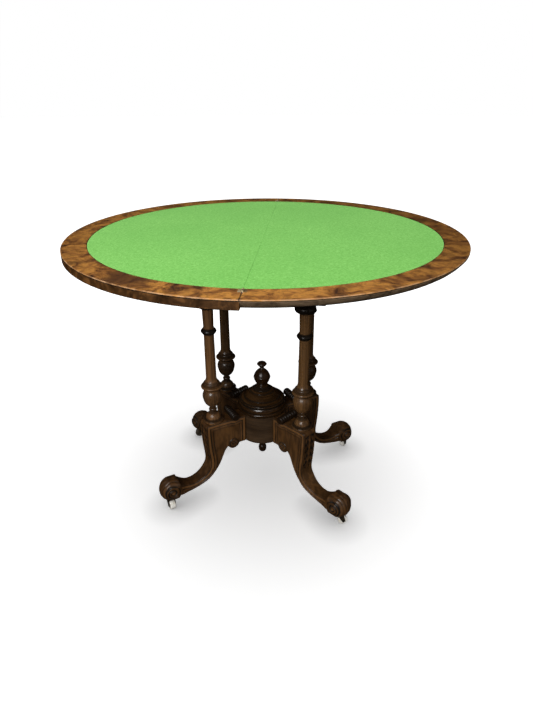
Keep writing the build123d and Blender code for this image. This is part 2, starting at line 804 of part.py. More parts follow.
# Castors
def make_castors():
    """Horn, axle and wheel in the castor's own frame: Z is the swivel axis, X the trail."""
    horn_high = foot_bottom - cup_flange_thickness - horn_foot_clearance
    crown_low = horn_high - horn_crown_thickness
    wheel = Cylinder(wheel_radius, wheel_width)
    wheel = fillet(wheel.edges(), wheel_edge_round)
    wheel -= Cylinder(axle_radius + axle_running_clearance, wheel_width + overrun)
    wheel = at(castor_trail, 0, wheel_radius) * Rot(90, 0, 0) * wheel
    inner = wheel_width / 2 + horn_side_clearance
    outer = inner + horn_cheek_thickness
    cheek_outline = [
        Line((-stem_radius, horn_high), (castor_trail, horn_high)),
        Line((castor_trail, horn_high), (castor_trail + horn_cheek_radius, wheel_radius)),
        ThreePointArc((castor_trail + horn_cheek_radius, wheel_radius),
                      (castor_trail, wheel_radius - horn_cheek_radius),
                      (castor_trail - horn_cheek_radius, wheel_radius)),
        Line((castor_trail - horn_cheek_radius, wheel_radius), (-stem_radius, crown_low)),
        Line((-stem_radius, crown_low), (-stem_radius, horn_high)),
    ]
    cheeks = extrude(Plane.XZ * make_face(cheek_outline), outer, both=True)
    hollow = block((-stem_radius - overrun, -inner, -overrun),
                   (castor_trail + wheel_radius + overrun, inner, crown_low))
    horn = cheeks - hollow
    horn += at(0, 0, crown_low) * rod(outer, horn_crown_thickness)
    horn -= at(castor_trail, 0, wheel_radius) * Rot(90, 0, 0) * Cylinder(
        wheel_radius + horn_crown_clearance, 2 * inner)
    horn += at(0, 0, horn_high) * rod(stem_radius, stem_length)
    axle_bar = at(castor_trail, 0, wheel_radius) * Rot(90, 0, 0) * Cylinder(axle_radius, 2 * outer)
    horn -= axle_bar
    for name in corners:
        swivel = leg_place(name) * at(castor_reach, 0, 0)
        place = Pos(swivel.position) * Rot(0, 0, castor_azimuths[name])
        parts["castor_horn_" + name] = place * horn
        parts["castor_axle_" + name] = place * axle_bar
        parts["castor_wheel_" + name] = place * wheel


def solids_of(piece):
    pieces = piece if isinstance(piece, list) else [piece]
    return [solid for item in pieces for solid in item.solids()]


def write_parts():
    os.makedirs("parts", exist_ok=True)
    for name, piece in parts.items():
        solids = solids_of(piece)
        shape = solids[0] if len(solids) == 1 else Compound(solids)
        shape.label = name
        export_step(shape, "parts/" + name + ".step")


make_top()
make_pivot()
make_frieze()
make_columns()
make_drum()
make_legs()
make_castors()
write_parts()
print(len(parts), "nodes written")
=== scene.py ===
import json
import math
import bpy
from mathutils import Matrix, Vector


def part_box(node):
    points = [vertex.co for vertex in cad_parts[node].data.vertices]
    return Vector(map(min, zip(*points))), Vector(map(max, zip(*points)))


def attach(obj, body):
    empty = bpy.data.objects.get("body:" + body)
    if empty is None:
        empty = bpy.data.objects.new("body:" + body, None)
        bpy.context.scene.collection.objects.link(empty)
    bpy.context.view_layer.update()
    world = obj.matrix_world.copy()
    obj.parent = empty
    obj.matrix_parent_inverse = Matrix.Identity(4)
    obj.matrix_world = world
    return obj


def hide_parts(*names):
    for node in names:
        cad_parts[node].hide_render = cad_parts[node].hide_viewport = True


bl_info = {
    "name": "Fold-over Card Table",
    "version": (1, 0, 0),
    "blender": (4, 5, 0),
    "location": "View3D > Sidebar > Card Table",
    "description": "Dresses the card table with cloth, veneer, carving and castors in a plain studio",
    "category": "Add Mesh",
}

import bpy
import numpy as np
from bpy.props import FloatProperty, FloatVectorProperty, IntProperty, PointerProperty
from mathutils import Matrix, Vector
from mathutils.kdtree import KDTree

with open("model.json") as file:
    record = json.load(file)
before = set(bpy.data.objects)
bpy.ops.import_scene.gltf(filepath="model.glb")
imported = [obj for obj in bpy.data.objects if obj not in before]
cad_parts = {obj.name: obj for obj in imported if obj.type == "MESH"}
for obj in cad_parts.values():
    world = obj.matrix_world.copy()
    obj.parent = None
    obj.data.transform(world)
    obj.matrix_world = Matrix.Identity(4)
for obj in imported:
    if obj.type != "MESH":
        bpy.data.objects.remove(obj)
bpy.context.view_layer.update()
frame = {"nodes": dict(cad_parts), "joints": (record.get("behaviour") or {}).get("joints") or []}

CORNERS = ("front_left", "front_right", "back_left", "back_right")
MILLIMETRE = 0.001
TURN = 2 * math.pi


def colour(name, text, default):
    """A colour that a user may change."""
    return FloatVectorProperty(name=name, description=text, subtype="COLOR", size=3, min=0, max=1,
                               default=default)


def length(name, text, default):
    """A length that a user may change, in metres."""
    return FloatProperty(name=name, description=text, subtype="DISTANCE", unit="LENGTH", default=default)


def angle(name, text, degrees):
    """An angle that a user may change."""
    return FloatProperty(name=name, description=text, subtype="ANGLE", default=math.radians(degrees))


def amount(name, text, default):
    """A strength that a user may change."""
    return FloatProperty(name=name, description=text, default=default, min=0)


def power(name, text, default):
    """A light's power that a user may change."""
    return FloatProperty(name=name, description=text, subtype="POWER", default=default)


TOP_RADIUS = -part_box("lower_leaf_banding")[0].x
CLOTH_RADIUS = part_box("flap_baize")[1].y
LEAF_LOW, LEAF_HIGH = (corner.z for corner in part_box("flap_leaf"))
COLUMN_LOW, COLUMN_HIGH = (corner.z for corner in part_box("column_front_left"))
DOME_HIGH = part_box("drum_dome")[1].z


class ClothSettings(bpy.types.PropertyGroup):
    """Baize of the two leaves."""

    green: colour("Green", "Main colour of the baize", (0.200, 0.550, 0.100))
    pale_green: colour("Pale green", "Tips of the nap", (0.300, 0.680, 0.165))
    deep_green: colour("Deep green", "Hollows of the nap", (0.125, 0.420, 0.060))
    edge_roll: length("Edge roll", "Width of the rolled edge of the cloth", 0.0008)
    facets: IntProperty(name="Facets", description="Steps round the cut edge", default=256, min=32)


class WoodSettings(bpy.types.PropertyGroup):
    """Colours of the woods."""

    burr_light: colour("Burr light", "Light figure of the banding", (0.510, 0.225, 0.044))
    burr_mid: colour("Burr middle", "Middle figure of the banding", (0.255, 0.100, 0.023))
    burr_dark: colour("Burr dark", "Dark figure of the banding", (0.048, 0.019, 0.009))
    # Pale wood along the top's arris: partly wear and partly a painted highlight
    wear_and_highlight: colour("Worn", "Bare wood on a worn edge", (0.560, 0.330, 0.170))
    edge_brown: colour("Edge brown", "Edge of the fixed leaf", (0.060, 0.024, 0.005))
    flap_brown: colour("Flap brown", "Thumb moulding of the flap", (0.160, 0.105, 0.060))
    walnut_light: colour("Walnut light", "Light grain of the base", (0.132, 0.060, 0.018))
    walnut_dark: colour("Walnut dark", "Dark grain of the base", (0.048, 0.020, 0.006))
    column_light: colour("Column light", "Light grain of the columns", (0.215, 0.105, 0.036))
    column_dark: colour("Column dark", "Dark grain of the columns", (0.085, 0.038, 0.013))
    drum_light: colour("Drum light", "Light grain of the drum", (0.068, 0.038, 0.018))
    drum_dark: colour("Drum dark", "Dark grain of the drum", (0.028, 0.015, 0.007))
    # Near black for the blackened rings and rolls, dark joints and dirt, and also for painted shade in carved
    # hollows, in grooves and under edges
    black_and_shade: colour("Ebonised", "Blackened rings and rolls", (0.006, 0.005, 0.004))
    beech: colour("Beech", "Plain wood inside the box", (0.420, 0.255, 0.130))


class CarvingSettings(bpy.types.PropertyGroup):
    """Depths of the carving on the legs."""

    voxel: length("Grain of the mesh", "Spacing of the carved mesh", 0.00105)
    bead_height: length("Bead height", "Height of the beads that frame a side", 0.0011)
    groove_depth: length("Groove depth", "Depth of the grooves beside the beads", 0.0012)
    leaf_height: length("Leaf height", "Height of the leaves on the knee", 0.0034)
    sinking: length("Sinking", "Depth of the sunk ground of the knee", 0.0021)
    lobe_height: length("Lobe height", "Height of the lobes on the foot", 0.0009)
    spiral_depth: length("Spiral depth", "Depth of the spiral on the foot scroll", 0.0024)
    foot_rounding: IntProperty(name="Foot rounding", description="Passes that soften the foot", default=24,
                               min=0)


class StageSettings(bpy.types.PropertyGroup):
    """Camera, floor and lights."""

    camera_place: FloatVectorProperty(name="Camera place", description="Where the camera stands", size=3,
                                      subtype="TRANSLATION", unit="LENGTH", default=(0.1200, -1.2847, 1.0329))
    tilt: angle("Tilt", "How far the camera looks down", 26.175)
    heading: angle("Heading", "How far the camera looks to the left", 5.275)
    roll: angle("Roll", "Lean of the camera", -0.2236)
    lens: FloatProperty(name="Lens", description="Focal length on a 36 mm sensor", default=27.04, min=1)
    # The floor's own glow, dimmer under the table and near the pieces as painted shade and painted contact
    # shadows
    floor_glow: amount("Floor glow", "Light that the pale floor gives back by itself", 0.48)
    glow_rise: amount("Glow rise", "How much that light rises in a metre from the table", 0.44)
    contact: length("Contact", "How near a piece must be to darken the floor", 0.075)
    sky: amount("Surround", "Strength of the white surround", 1.0)
    ceiling: amount("Ceiling", "Brightness of the ceiling", 0.22)
    below: amount("Below", "Light from below the floor's edge", 0.25)
    behind: amount("Behind", "Brightness of the wall behind the table", 0.32)
    window: angle("Window", "How far to the left the bright side of the room lies", 35)
    overhead: power("Overhead light", "Power of the soft light above the top", 33.0)
    key: power("Key light", "Power of the front light", 50.0)
    fill: power("Fill light", "Power of the light from the right", 1.5)


SETTINGS = {
    "card_table_cloth": ClothSettings,
    "card_table_wood": WoodSettings,
    "card_table_carving": CarvingSettings,
    "card_table_stage": StageSettings,
}


def opaque(rgb):
    return (rgb[0], rgb[1], rgb[2], 1.0)


# Materials


class Bench:
    """Adds nodes to one material and links them."""

    def __init__(self, name):
        self.material = bpy.data.materials.new(name)
        self.material.use_nodes = True
        self.tree = self.material.node_tree
        self.shader = self.tree.nodes["Principled BSDF"]
        self.place = self.add("ShaderNodeTexCoord").outputs["Object"]

    def add(self, kind, settings=None, **inputs):
        node = self.tree.nodes.new(kind)
        for key, value in (settings or {}).items():
            setattr(node, key, value)
        for key, value in inputs.items():
            self.feed(node, key.replace("_", " "), value)
        return node

    def feed(self, node, name, value):
        socket = node.inputs[name]
        if isinstance(value, bpy.types.NodeSocket):
            self.tree.links.new(value, socket)
        else:
            socket.default_value = value

    def mapped(self, scale, turn=(0, 0, 0), source=None):
        node = self.add("ShaderNodeMapping", Scale=scale, Rotation=turn)
        self.tree.links.new(source or self.place, node.inputs["Vector"])
        return node.outputs["Vector"]

    def noise(self, vector, scale, detail=3.0, roughness=0.5, distortion=0.0):
        node = self.add("ShaderNodeTexNoise", Scale=scale, Detail=detail, Roughness=roughness,
                        Distortion=distortion)
        self.tree.links.new(vector, node.inputs["Vector"])
        return node.outputs["Fac"]

    def sums(self, operation, first, second=0.0, third=0.0, clamp=False):
        node = self.add("ShaderNodeMath", {"operation": operation, "use_clamp": clamp})
        for index, value in enumerate((first, second, third)):
            self.feed(node, index, value)
        return node.outputs[0]

    def ramp(self, factor, stops, smooth=False):
        node = self.add("ShaderNodeValToRGB")
        ramp = node.color_ramp
        ramp.interpolation = "EASE" if smooth else "LINEAR"
        while len(ramp.elements) > 1:
            ramp.elements.remove(ramp.elements[-1])
        ramp.elements[0].position = stops[0][0]
        ramp.elements[0].color = opaque(stops[0][1])
        for position, tone in stops[1:]:
            ramp.elements.new(position).color = opaque(tone)
        self.tree.links.new(factor, node.inputs["Fac"])
        return node.outputs["Color"]

    def blend(self, factor, first, second, kind="MIX"):
        node = self.add("ShaderNodeMix", {"data_type": "RGBA", "blend_type": kind})
        self.feed(node, 0, factor)
        for index, value in ((6, first), (7, second)):
            self.feed(node, index, value if isinstance(value, bpy.types.NodeSocket) else opaque(value))
        return node.outputs[2]

    def ranged(self, value, low, high, start=0.0, end=1.0):
        node = self.add("ShaderNodeMapRange", {"interpolation_type": "SMOOTHSTEP"})
        for index, number in enumerate((value, low, high, start, end)):
            self.feed(node, index, number)
        return node.outputs[0]

    def part(self, name):
        """One coordinate of the object's own place."""
        node = self.add("ShaderNodeSeparateXYZ")
        self.tree.links.new(self.place, node.inputs[0])
        return node.outputs[name]

    def from_axis(self):
        """Distance from the upright line through the middle of the top."""
        node = self.add("ShaderNodeVectorMath", {"operation": "LENGTH"})
        self.tree.links.new(self.mapped((1, 1, 0)), node.inputs[0])
        return node.outputs["Value"]

    def between(self, value, low, high, soft):
        """One between two limits, falling to zero over a soft edge."""
        rise = self.ranged(value, low - soft, low)
        fall = self.ranged(value, high, high + soft, 1.0, 0.0)
        return self.sums("MULTIPLY", rise, fall)

    def finish(self, tone, roughness, height=None, bump=0.2, depth=0.0005, **constants):
        self.feed(self.shader, "Base Color", tone)
        self.feed(self.shader, "Roughness", roughness)
        for key, value in constants.items():
            self.shader.inputs[key.replace("_", " ")].default_value = value
        if height is not None:
            node = self.add("ShaderNodeBump", Strength=bump, Distance=depth)
            self.tree.links.new(height, node.inputs["Height"])
            self.tree.links.new(node.outputs["Normal"], self.shader.inputs["Normal"])
        return self.material


def grained(bench, light, dark, scale, figure=9.0, pores=260.0):
    """Straight-grained wood: scale shrinks the pattern along the grain. Returns its tone and its pores."""
    along = bench.mapped(scale)
    broad = bench.noise(along, figure, 4.0, 0.55, 0.8)
    tone = bench.ramp(broad, ((0.30, dark), (0.62, light)))
    fine = bench.noise(bench.mapped(tuple(s * s for s in scale)), pores, 2.0, 0.6)
    streak = bench.ranged(fine, 0.42, 0.62, 0.55, 1.0)
    streaked = bench.blend(1.0, tone, bench.ramp(streak, ((0.0, (0, 0, 0)), (1.0, (1, 1, 1)))), "MULTIPLY")
    return streaked, fine


def walnut(name, light, dark, scale=(1, 1, 0.16), roughness=(0.30, 0.48), attribute=None, gloss=0.25,
           darken=None):
    """Old polished walnut, with painted shade in its carved hollows and a painted highlight on its crests."""
    black_and_shade = bpy.context.scene.card_table_wood.black_and_shade
    bench = Bench(name)
    tone, fine = grained(bench, light, dark, scale)
    if attribute:
        relief = bench.add("ShaderNodeAttribute", {"attribute_name": attribute}).outputs["Fac"]
        # Painted shade: the carving's hollows are darkened towards near black
        hollow_shade = bench.ranged(relief, -0.9, 0.1, 1.0, 0.0)
        tone = bench.blend(bench.sums("MULTIPLY", hollow_shade, 0.92), tone, black_and_shade)
        # Painted highlight: the carving's crests are lightened
        crest_highlight = bench.ranged(relief, 0.35, 1.3)
        tone = bench.blend(bench.sums("MULTIPLY", crest_highlight, 0.35), tone, [min(1, 1.9 * c) for c in light])
    if darken:
        tone = bench.blend(darken(bench), tone, black_and_shade)
    shine = bench.ranged(bench.noise(bench.place, 40.0), 0.3, 0.7, *roughness)
    return bench.finish(tone, shine, fine, 0.18, 0.0004, Coat_Weight=gloss, Coat_Roughness=0.22,
                        Specular_IOR_Level=0.3)


def height_mask(low, high, bands):
    """A mask of dark bands between shares of a piece's height."""
    def build(bench):
        share = bench.sums("DIVIDE", bench.sums("SUBTRACT", bench.part("Z"), low), high - low)
        stops = []
        soft = 0.003
        for start, end, depth in bands:
            stops += [(max(start - soft, 0), (0, 0, 0)), (start + soft, (depth,) * 3)]
            stops += [(end - soft, (depth,) * 3), (min(end + soft, 1), (0, 0, 0))]
        return bench.ramp(share, stops)
    return build


# Painted light and shade on the veneer round the top, brighter at the front and darker at the right and back:
# share of a turn from the left end, and brightness. Set so that the veneer looks as bright as in the photo
# under these lights, so some of the photo's light is in it.
ROUND_SHADE_SHARES = ((0.0, 0.90), (0.12, 0.95), (0.25, 1.10), (0.36, 1.0), (0.45, 0.66), (0.60, 0.58),
                      (0.75, 0.66), (1.0, 0.90))


def burr(name, seam):
    """Burr walnut veneer with a dark line at the cloth and at the seam, painted light and shade round the
    top, and a pale arris that is partly wear and partly a painted highlight.

    Seam times X is the distance from the seam, so it is negative on the fixed leaf, and a smaller one
    makes a wider line.
    """
    wood = bpy.context.scene.card_table_wood
    bench = Bench(name)
    swirl = bench.add("ShaderNodeTexNoise", Scale=9.0, Detail=3.0)
    bench.tree.links.new(bench.place, swirl.inputs["Vector"])
    spread = bench.add("ShaderNodeVectorMath", {"operation": "SCALE"}, Scale=0.07)
    bench.tree.links.new(swirl.outputs["Color"], spread.inputs[0])
    moved = bench.add("ShaderNodeVectorMath", {"operation": "ADD"})
    bench.tree.links.new(bench.place, moved.inputs[0])
    bench.tree.links.new(spread.outputs[0], moved.inputs[1])
    warped = moved.outputs[0]
    clouds = bench.noise(warped, 22.0, 7.0, 0.66, 1.2)
    tone = bench.ramp(clouds, ((0.33, wood.burr_dark), (0.45, wood.burr_mid), (0.58, wood.burr_light),
                               (0.74, wood.burr_mid)))
    curl = bench.noise(warped, 70.0, 5.0, 0.7, 2.0)
    curls = bench.ranged(curl, 0.36, 0.50, 0.50, 1.0)
    tone = bench.blend(1.0, tone, bench.ramp(curls, ((0.0, (0, 0, 0)), (1.0, (1, 1, 1)))), "MULTIPLY")
    patch = bench.ranged(bench.noise(bench.place, 10.0, 2.0), 0.52, 0.70, 0.0, 0.75)
    tone = bench.blend(patch, tone, wood.burr_dark)
    # Painted light and shade round the top
    round_top = bench.add("ShaderNodeTexGradient", {"gradient_type": "RADIAL"})
    bench.tree.links.new(bench.place, round_top.inputs["Vector"])
    shade = bench.ramp(round_top.outputs["Fac"],
                       [(share, (depth,) * 3) for share, depth in ROUND_SHADE_SHARES])
    tone = bench.blend(1.0, tone, shade, "MULTIPLY")
    reach = bench.from_axis()
    beside_cloth = bench.ranged(reach, CLOTH_RADIUS + 0.4 * MILLIMETRE, CLOTH_RADIUS + 2.2 * MILLIMETRE,
                                0.85, 0.0)
    tone = bench.blend(beside_cloth, tone, wood.black_and_shade)
    # The pale arris, broken by nicks: partly wear and partly a painted highlight
    near_rim = bench.ranged(reach, TOP_RADIUS - 1.6 * MILLIMETRE, TOP_RADIUS - 0.4 * MILLIMETRE)
    nicks = bench.ranged(bench.noise(bench.place, 60.0, 4.0), 0.35, 0.62, 0.10, 0.75)
    tone = bench.blend(bench.sums("MULTIPLY", near_rim, nicks), tone, wood.wear_and_highlight)
    across = bench.sums("MULTIPLY", bench.part("X"), seam)
    beside_seam = bench.ranged(across, 0.2 * MILLIMETRE, 1.5 * MILLIMETRE, 0.95, 0.0)
    tone = bench.blend(beside_seam, tone, wood.black_and_shade)
    shine = bench.ranged(curl, 0.3, 0.7, 0.34, 0.50)
    return bench.finish(tone, shine, curl, 0.12, 0.0003, Coat_Weight=0.1, Coat_Roughness=0.30,
                        Specular_IOR_Level=0.3)


def edge_wood(name, brown, light, bands, under):
    """A leaf's edge, with dark lines at the joint with the veneer and at the bottom, and its underside. The
    top line is the joint with painted shade under the veneer's step, and the bottom line is painted shade
    under the edge.
    """
    wood = bpy.context.scene.card_table_wood
    bench = Bench(name)
    clouds = bench.noise(bench.place, 26.0, 6.0, 0.65, 1.2)
    tone = bench.ramp(clouds, ((0.36, [0.35 * c for c in brown]), (0.50, brown), (0.62, light)))
    streak = bench.noise(bench.mapped((1, 1, 12)), 60.0, 3.0)
    tone = bench.blend(bench.ranged(streak, 0.35, 0.65, 0.0, 0.35), tone, [0.4 * c for c in brown])
    reach = bench.from_axis()
    face = bench.ranged(reach, TOP_RADIUS - 20 * MILLIMETRE, TOP_RADIUS - 19 * MILLIMETRE, 1.0, 0.0)
    tone = bench.blend(face, tone, bench.ramp(clouds, tuple(zip((0.33, 0.47, 0.62), under))))
    at_edge = bench.sums("SUBTRACT", 1.0, face)
    height = bench.part("Z")
    # Painted shade: dark lines under the veneer's step and along the bottom of the edge
    for low, high in bands:
        line = bench.between(height, low, high, 0.4 * MILLIMETRE)
        tone = bench.blend(bench.sums("MULTIPLY", line, at_edge), tone, wood.black_and_shade)
    shine = bench.ranged(clouds, 0.3, 0.7, 0.36, 0.55)
    return bench.finish(tone, shine, streak, 0.15, 0.0003, Coat_Weight=0.1, Coat_Roughness=0.35,
                        Specular_IOR_Level=0.3)


def plain_wood(name, tone, scale):
    """Unpolished secondary wood."""
    bench = Bench(name)
    light = [min(1, 1.15 * c) for c in tone]
    dark = [0.62 * c for c in tone]
    grain, fine = grained(bench, light, dark, scale, 12.0, 300.0)
    return bench.finish(grain, 0.62, fine, 0.25, 0.0004)


def metal(name, bright, tarnish, roughness, metallic=1.0):
    """Old metal with tarnish in clouds and fine scratches."""
    bench = Bench(name)
    clouds = bench.noise(bench.place, 120.0, 5.0, 0.6)
    tone = bench.ramp(clouds, ((0.35, tarnish), (0.62, bright)))
    scratches = bench.noise(bench.mapped((1, 8, 1)), 600.0, 2.0)
    shine = bench.ranged(clouds, 0.3, 0.7, roughness + 0.15, roughness)
    return bench.finish(tone, shine, scratches, 0.15, 0.0001, Metallic=metallic)


def glazed(name, stained, clean, bright):
    """Glazed pottery with faint stains."""
    bench = Bench(name)
    stain = bench.noise(bench.place, 90.0, 4.0, 0.6)
    tone = bench.ramp(stain, ((0.30, stained), (0.50, clean), (0.70, bright)))
    return bench.finish(tone, 0.16, stain, 0.05, 0.0002, Coat_Weight=0.6, Coat_Roughness=0.06)


def baize_material(cloth):
    """Felted wool: a fine mottled nap over soft broad shading."""
    bench = Bench("baize_wool")
    fibre = bench.noise(bench.place, 620.0, 4.0, 0.7)
    tuft = bench.noise(bench.place, 210.0, 3.0, 0.65, 0.6)
    broad = bench.noise(bench.place, 6.0, 3.0, 0.5)
    mix = bench.sums("ADD", bench.sums("MULTIPLY", fibre, 0.5), bench.sums("MULTIPLY", tuft, 0.5))
    tone = bench.ramp(mix, ((0.36, cloth.deep_green), (0.50, cloth.green), (0.64, cloth.pale_green)))
    tone = bench.blend(bench.ranged(broad, 0.3, 0.7, 0.0, 0.22), tone, cloth.deep_green)
    edge = bench.ranged(bench.from_axis(), CLOTH_RADIUS - 2.6 * MILLIMETRE, CLOTH_RADIUS - 0.6 * MILLIMETRE)
    tone = bench.blend(bench.sums("MULTIPLY", edge, 0.35), tone, cloth.pale_green)
    return bench.finish(tone, 0.92, mix, 0.5, 0.0006, Sheen_Weight=0.05, Sheen_Roughness=0.5,
                        Specular_IOR_Level=0.2)


# Mesh helpers


def deselect():
    if bpy.context.mode != "OBJECT":
        bpy.ops.object.mode_set(mode="OBJECT")
    bpy.ops.object.select_all(action="DESELECT")


def make_active(piece):
    deselect()
    piece.select_set(True)
    bpy.context.view_layer.objects.active = piece


def edit(piece):
    make_active(piece)
    bpy.ops.object.mode_set(mode="EDIT")


def copied_node(node, name):
    """A separate, merged copy of a CAD node's mesh."""
    source = frame["nodes"][node]
    piece = bpy.data.objects.new(name, source.data.copy())
    bpy.context.scene.collection.objects.link(piece)
    piece.data.materials.clear()
    edit(piece)
    bpy.ops.mesh.select_all(action="SELECT")
    bpy.ops.mesh.remove_doubles(threshold=0.00001)
    bpy.ops.object.mode_set(mode="OBJECT")
    return piece


def settle(piece, name, material, body, slot, *nodes):
    """Names a finished piece, gives it its finish and hangs it on its body in place of its nodes."""
    make_active(piece)
    bpy.ops.object.transform_apply(location=True, rotation=True, scale=True)
    piece.name = name
    piece.data.name = name
    piece.data.materials.clear()
    piece.data.materials.append(material)
    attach(piece, body)
    if nodes:
        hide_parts(*nodes)
    return piece


def paint(material, *nodes):
    """Gives CAD nodes a new finish."""
    for node in nodes:
        piece = frame["nodes"][node]
        piece.data.materials.clear()
        piece.data.materials.append(material)


def smooth_step(value, low, high):
    t = np.clip((value - low) / (high - low), 0, 1)
    return t * t * (3 - 2 * t)


def ridge(value, middle, width):
    """A rounded ridge of height one, width wide."""
    t = np.clip(1 - ((value - middle) / (width / 2)) ** 2, 0, None)
    return np.sqrt(t)


def coordinates(mesh):
    flat = np.zeros(3 * len(mesh.vertices), np.float32)
    mesh.vertices.foreach_get("co", flat)
    return flat.reshape(-1, 3).astype(float)


def vertex_normals(mesh):
    flat = np.zeros(3 * len(mesh.vertices), np.float32)
    mesh.vertices.foreach_get("normal", flat)
    return flat.reshape(-1, 3).astype(float)


def raise_by(piece, relief):
    """Moves a mesh out along its normals and keeps the relief, in millimetres, as an attribute."""
    mesh = piece.data
    moved = coordinates(mesh) + vertex_normals(mesh) * relief[:, None]
    mesh.vertices.foreach_set("co", moved.astype(np.float32).ravel())
    attribute = mesh.attributes.new("carving", "FLOAT", "POINT")
    attribute.data.foreach_set("value", (relief / MILLIMETRE).astype(np.float32))
    mesh.update()


# Cloth


# Share of the solid's gap at the seam that the cloth keeps open
SEAM_SHARE = 0.3


class CARDTABLE_OT_baize(bpy.types.Operator):
    """Lay the two half rounds of baize"""

    bl_idname = "card_table.baize"
    bl_label = "Lay the baize"

    def execute(self, context):
        cloth = context.scene.card_table_cloth
        wool = baize_material(cloth)
        for side, body, rests in ((-1, "lower_leaf", "lower_leaf"), (1, "flap", "flap_leaf")):
            node = body + "_baize"
            low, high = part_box(node)
            radius = high.y
            seam = SEAM_SHARE * (high.x if side < 0 else low.x)
            thickness = high.z - low.z
            deselect()
            bpy.ops.mesh.primitive_circle_add(vertices=cloth.facets, radius=radius, fill_type="NGON",
                                              location=(0, 0, low.z))
            piece = context.object
            edit(piece)
            bpy.ops.mesh.select_mode(type="FACE")
            bpy.ops.mesh.select_all(action="SELECT")
            bpy.ops.mesh.bisect(plane_co=(seam, 0, 0), plane_no=(side, 0, 0), clear_inner=True)
            bpy.ops.mesh.select_all(action="SELECT")
            bpy.ops.mesh.extrude_region_move(TRANSFORM_OT_translate={"value": (0, 0, thickness)})
            bpy.ops.mesh.select_all(action="SELECT")
            bpy.ops.mesh.normals_make_consistent(inside=False)
            bpy.ops.mesh.select_all(action="DESELECT")
            bpy.ops.object.mode_set(mode="OBJECT")
            for face in piece.data.polygons:
                face.select = face.normal.z > 0.9
            bpy.ops.object.mode_set(mode="EDIT")
            bpy.ops.mesh.inset(thickness=cloth.edge_roll, depth=0)
            bpy.ops.mesh.select_all(action="SELECT")
            bpy.ops.mesh.quads_convert_to_tris()
            bpy.ops.object.mode_set(mode="OBJECT")
            points = coordinates(piece.data)
            top = points[:, 2] > points[:, 2].max() - thickness / 4
            on_edge = np.hypot(points[:, 0], points[:, 1]) > radius - cloth.edge_roll / 2
            points[top & on_edge, 2] -= thickness / 3
            piece.data.vertices.foreach_set("co", points.astype(np.float32).ravel())
            piece.data.update()
            settle(piece, "cloth_" + body, wool, body, "baize", node)
        return {"FINISHED"}


# Woods of the top


class CARDTABLE_OT_top(bpy.types.Operator):
    """Finish the two leaves and their burr bandings"""

    bl_idname = "card_table.top"
    bl_label = "Finish the top"

    def execute(self, context):
        wood = context.scene.card_table_wood
        paint(burr("burr_banding_fixed", seam=-0.6), "lower_leaf_banding")
        paint(burr("burr_banding_flap", seam=1.0), "flap_banding")
        # Dark lines on each leaf's edge: the joint with the veneer with painted shade under its step, and
        # painted shade along the bottom
        fixed_lines = ((LEAF_HIGH - 1.4 * MILLIMETRE, LEAF_HIGH), (LEAF_LOW, LEAF_LOW + 0.8 * MILLIMETRE))
        flap_lines = ((LEAF_HIGH - 1.2 * MILLIMETRE, LEAF_HIGH), (LEAF_LOW, LEAF_LOW + 2.88 * MILLIMETRE))
        plain = (wood.walnut_dark, [0.6 * c for c in wood.walnut_light], wood.walnut_light)
        veneer = (wood.burr_dark, wood.burr_mid, wood.burr_light)
        light = [2.6 * c for c in wood.edge_brown]
        paint(edge_wood("fixed_leaf_edge", wood.edge_brown, light, fixed_lines, plain), "lower_leaf")
        light = [1.35 * c for c in wood.flap_brown]
        paint(edge_wood("flap_edge", wood.flap_brown, light, flap_lines, veneer), "flap_leaf")
        return {"FINISHED"}


class CARDTABLE_OT_fittings(bpy.types.Operator):
    """Finish hinges, swivel and screws"""

    bl_idname = "card_table.fittings"
    bl_label = "Finish the fittings"

    def execute(self, context):
        brass = metal("old_brass", (0.86, 0.72, 0.45), (0.42, 0.28, 0.12), 0.30, 0.5)
        steel = metal("dull_steel", (0.42, 0.42, 0.43), (0.14, 0.12, 0.11), 0.38)
        dull_brass = metal("dull_brass", (0.30, 0.19, 0.08), (0.12, 0.07, 0.03), 0.42, 0.5)
        # Painted light: the fixed leaf's plates and screws are bright brass, as a glint, and the flap's a
        # darker copy, as painted shade
        paint(brass, "hinge_plates_lower_leaf", "hinge_screws_lower_leaf")
        paint(dull_brass, "hinge_plates_flap", "hinge_screws_flap")
        paint(steel, "hinge_pins", "pivot_plate", "pivot_bolt", "pivot_washer", "pivot_nut",
              "pivot_plate_screws", "stop_block_screws", "underboard_screws")
        return {"FINISHED"}


class CARDTABLE_OT_box(bpy.types.Operator):
    """Finish the frieze box under the top"""

    bl_idname = "card_table.box"
    bl_label = "Finish the frieze box"

    def execute(self, context):
        wood = context.scene.card_table_wood
        rails = walnut("frieze_walnut", wood.walnut_light, wood.walnut_dark, (0.16, 0.16, 1))
        paint(rails, "frieze_front_rail", "frieze_back_rail", "frieze_left_rail", "frieze_right_rail",
              "underboard")
        paint(plain_wood("beech_along", wood.beech, (0.2, 1, 1)), "pivot_board", "stop_block", "leg_dowels")
        paint(plain_wood("beech_upright", wood.beech, (1, 1, 0.2)), "corner_blocks")
        return {"FINISHED"}


# How pale each column's shaft is and how dark its vase: painted light and shade, the front left column
# lighter and the others darker. Set one by one so that each looks as bright as in the photo under these
# lights.
COLUMN_PAINTED_LIGHT = {
    "front_left": (1.30, 0.45),
    "front_right": (0.62, 0.05),
    "back_left": (0.30, 0.55),
    "back_right": (0.42, 0.50),
}


# Dark bands of a column, dirt and painted shade at its base, neck, rings and capital, as shares of its height
# with their depth, without that of the vase
COLUMN_BANDS = ((0.020, 0.034, 0.8), (0.070, 0.125, 0.65), (0.262, 0.284, 0.75), (0.300, 0.336, 0.6),
                (0.698, 0.744, 0.97), (0.884, 0.999, 0.97))
VASE_SHARES = (0.132, 0.256)
